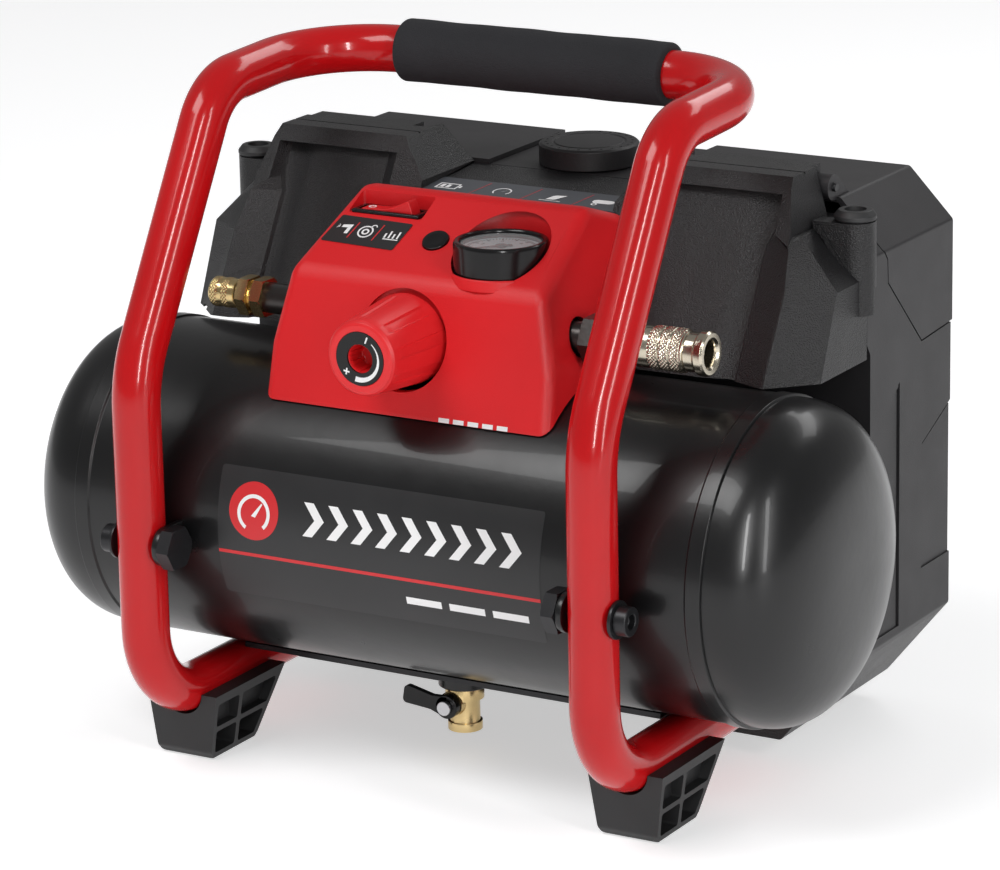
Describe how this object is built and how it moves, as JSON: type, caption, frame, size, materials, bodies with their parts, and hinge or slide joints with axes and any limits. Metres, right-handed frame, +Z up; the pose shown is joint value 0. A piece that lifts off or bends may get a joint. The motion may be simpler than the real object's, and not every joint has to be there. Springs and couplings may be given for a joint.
{
  "type": "air compressor",
  "caption": "Portable oil-free air compressor: black pressure tank in a red tube frame, red control panel and black battery housing with lids",
  "frame": {"origin": "on the floor under the middle of the overall box", "axes": "+X along the tank to the coupler side, +Y to the rear housing, +Z up"},
  "size_m": [0.399, 0.2688, 0.3256],
  "materials": {
    "tank_paint": "gloss black powder coat",
    "frame_paint": "gloss red powder coat",
    "black_metal": "black zinc and paint",
    "foam": "matte black foam",
    "foot_rubber": "matte black moulded rubber",
    "housing_plastic": "fine grained black",
    "lid_plastic": "fine grained dark grey",
    "red_plastic": "fine grained red",
    "black_plastic": "smooth black",
    "steel": "zinc plated steel",
    "nickel": "satin nickel plate",
    "brass": "turned brass",
    "alloy": "cast and machined alloy",
    "copper": "copper pipe",
    "lens_glass": "clear lens",
    "dial_face": "grey dial",
    "strip_grey": "dark grey printed strip",
    "filter_foam": "filter paper"
  },
  "bodies": {
    "compressor": {"tank_shell": "tank_paint", "tank_end_left": "tank_paint", "tank_end_right": "tank_paint", "tank_brackets": "black_metal", "frame_tube": "frame_paint", "cross_plate": "black_metal", "handle_grip": "foam", "front_foot_left": "foot_rubber", "front_foot_right": "foot_rubber", "rear_feet": "foot_rubber", "foot_screws": "steel", "frame_bolts": "black_metal", "frame_washers": "black_metal", "frame_nuts": "black_metal", "housing_base": "housing_plastic", "housing_rear_shell": "housing_plastic", "housing_front_shell": "housing_plastic", "corner_bushes": "foot_rubber", "housing_screws": "steel", "lid_hinge_pins": "steel", "battery_bays": "black_plastic", "battery_pack_left": "black_plastic", "battery_pack_right": "black_plastic", "battery_contacts": "brass", "filter_element": "filter_foam", "filter_seat": "housing_plastic", "control_panel": "red_plastic", "info_strip": "strip_grey", "switch_bezel": "black_plastic", "overload_breaker": "black_plastic", "gauge_case": "black_plastic", "gauge_dial": "dial_face", "gauge_lens": "lens_glass", "regulator_body": "alloy", "manifold": "steel", "coupler_body": "nickel", "safety_valve_body": "brass", "drain_valve_body": "brass", "drain_screw": "steel", "motor_housing": "steel", "pump_cylinder": "alloy", "cylinder_head": "alloy", "pump_frame": "alloy", "delivery_pipe": "copper", "pressure_switch": "black_plastic"},
    "lid_left": {"battery_lid_left": "lid_plastic"},
    "lid_right": {"battery_lid_right": "lid_plastic"},
    "cap": {"filter_cap": "lid_plastic"},
    "rocker": {"rocker_switch": "red_plastic"},
    "reset": {"reset_button": "foot_rubber"},
    "needle": {"gauge_needle": "black_plastic"},
    "knob": {"regulator_knob": "red_plastic", "knob_ring": "black_plastic"},
    "sleeve": {"coupler_sleeve": "nickel"},
    "relief_cap": {"safety_valve_cap": "brass"},
    "tap_lever": {"drain_lever": "black_plastic"},
    "crank": {"crankshaft": "steel", "cooling_fan": "black_plastic"},
    "rod": {"connecting_rod": "alloy"},
    "piston_body": {"piston": "alloy"}
  },
  "joints": [
    {"name": "lid_left_hinge", "type": "hinge", "parent": "compressor", "child": "lid_left", "pos_m": [-0.1, 0.0588, 0.262], "axis": [1, 0, 0], "range_deg": [0, 85]},
    {"name": "lid_right_hinge", "type": "hinge", "parent": "compressor", "child": "lid_right", "pos_m": [0.1, 0.0588, 0.262], "axis": [1, 0, 0], "range_deg": [0, 85]},
    {"name": "filter_cap_twist", "type": "hinge", "parent": "compressor", "child": "cap", "pos_m": [0, 0.0848, 0.26], "axis": [0, 0, 1], "range_deg": [0, 60]},
    {"name": "rocker_tilt", "type": "hinge", "parent": "compressor", "child": "rocker", "pos_m": [-0.0355, -0.0335, 0.246], "axis": [0, 1, 0], "range_deg": [0, 18]},
    {"name": "reset_press", "type": "slide", "parent": "compressor", "child": "reset", "axis": [0, 0.4928, -0.8701], "range_m": [0, 0.0015], "stiffness_N_per_m": 400},
    {"name": "needle_turn", "type": "hinge", "parent": "compressor", "child": "needle", "pos_m": [0.031, -0.0502, 0.245], "axis": [0, 0, -1], "range_deg": [0, 270]},
    {"name": "knob_turn", "type": "hinge", "parent": "compressor", "child": "knob", "pos_m": [-0.0035, -0.09, 0.2073], "axis": [0, -1, 0], "range_deg": [0, 720]},
    {"name": "sleeve_pull", "type": "slide", "parent": "compressor", "child": "sleeve", "axis": [-1, 0, 0], "range_m": [0, 0.005], "stiffness_N_per_m": 1500},
    {"name": "relief_pull", "type": "slide", "parent": "compressor", "child": "relief_cap", "axis": [-1, 0, 0], "range_m": [0, 0.0025], "stiffness_N_per_m": 2000},
    {"name": "drain_turn", "type": "hinge", "parent": "compressor", "child": "tap_lever", "pos_m": [-0.002, -0.049, 0.0285], "axis": [0, 1, 0], "range_deg": [-90, 0]},
    {"name": "crank_spin", "type": "hinge", "parent": "compressor", "child": "crank", "pos_m": [0.05, 0.09, 0.08], "axis": [1, 0, 0], "continuous": true},
    {"name": "rod_swing", "type": "hinge", "parent": "crank", "child": "rod", "pos_m": [0, 0.09, 0.074], "axis": [1, 0, 0], "continuous": true},
    {"name": "piston_stroke", "type": "slide", "parent": "compressor", "child": "piston_body", "axis": [0, 0, 1], "range_m": [0, 0.012]}
  ],
  "couplings": [
    {"joint": "rod_swing", "follows": "crank_spin", "ratio": -1}
  ]
}
